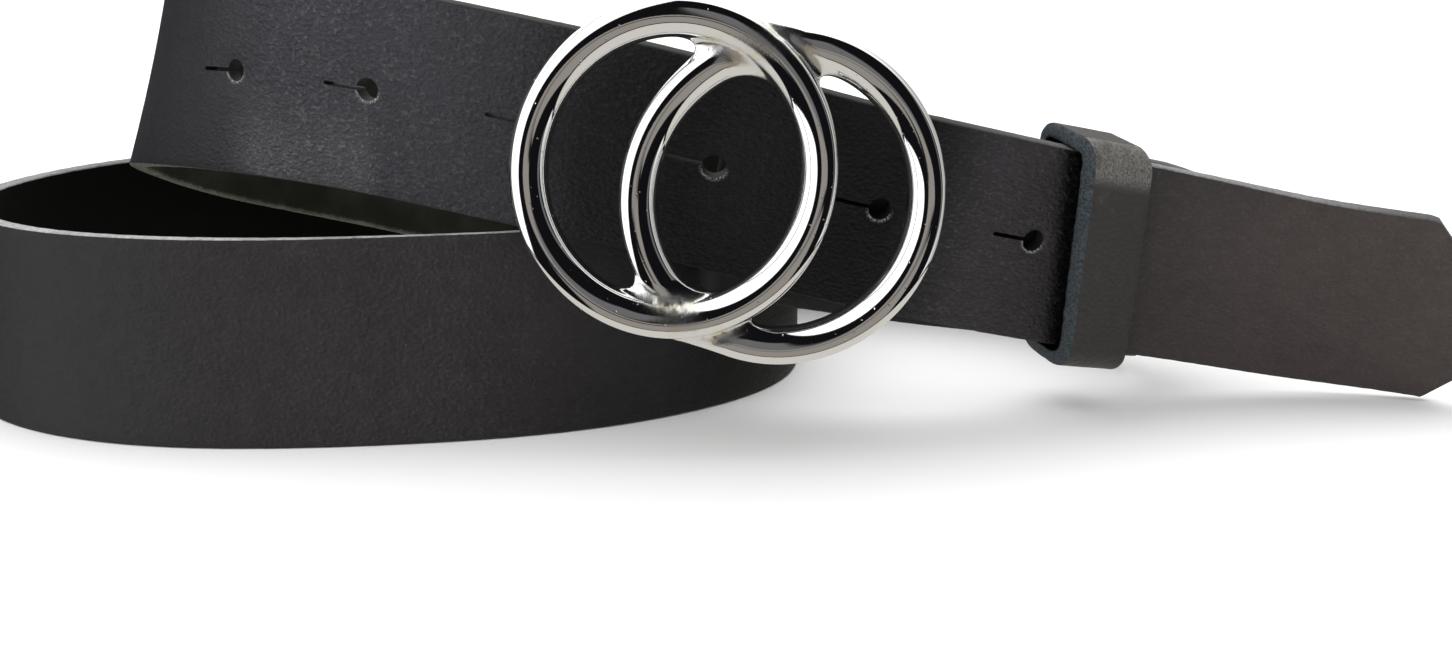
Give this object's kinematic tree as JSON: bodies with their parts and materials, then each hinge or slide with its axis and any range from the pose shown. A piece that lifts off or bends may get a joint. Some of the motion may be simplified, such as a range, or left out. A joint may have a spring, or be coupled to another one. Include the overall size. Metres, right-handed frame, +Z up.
{
  "type": "leather belt",
  "caption": "Leather belt with a keeper loop and a double-ring buckle, lying coiled on its lower edge with its punched end free.",
  "frame": {"origin": "middle of the strap's lower edge on the floor, at the right end of the front band", "axes": "+X along the belt towards its free end, +Z up across the strap, -Y towards the side that shows the buckle's front"},
  "size_m": [0.2833, 0.1193, 0.0762],
  "materials": {
    "strap_leather": "black full-grain leather, light fibres on the cut edges",
    "keeper_leather": "black full-grain leather, blue-grey cut edge",
    "chrome": "polished plate over a cast body",
    "rivet_steel": "plain steel"
  },
  "bodies": {
    "root": {"strap": "strap_leather", "keeper": "keeper_leather", "buckle": "chrome", "rivet": "rivet_steel"}
  },
  "joints": []
}
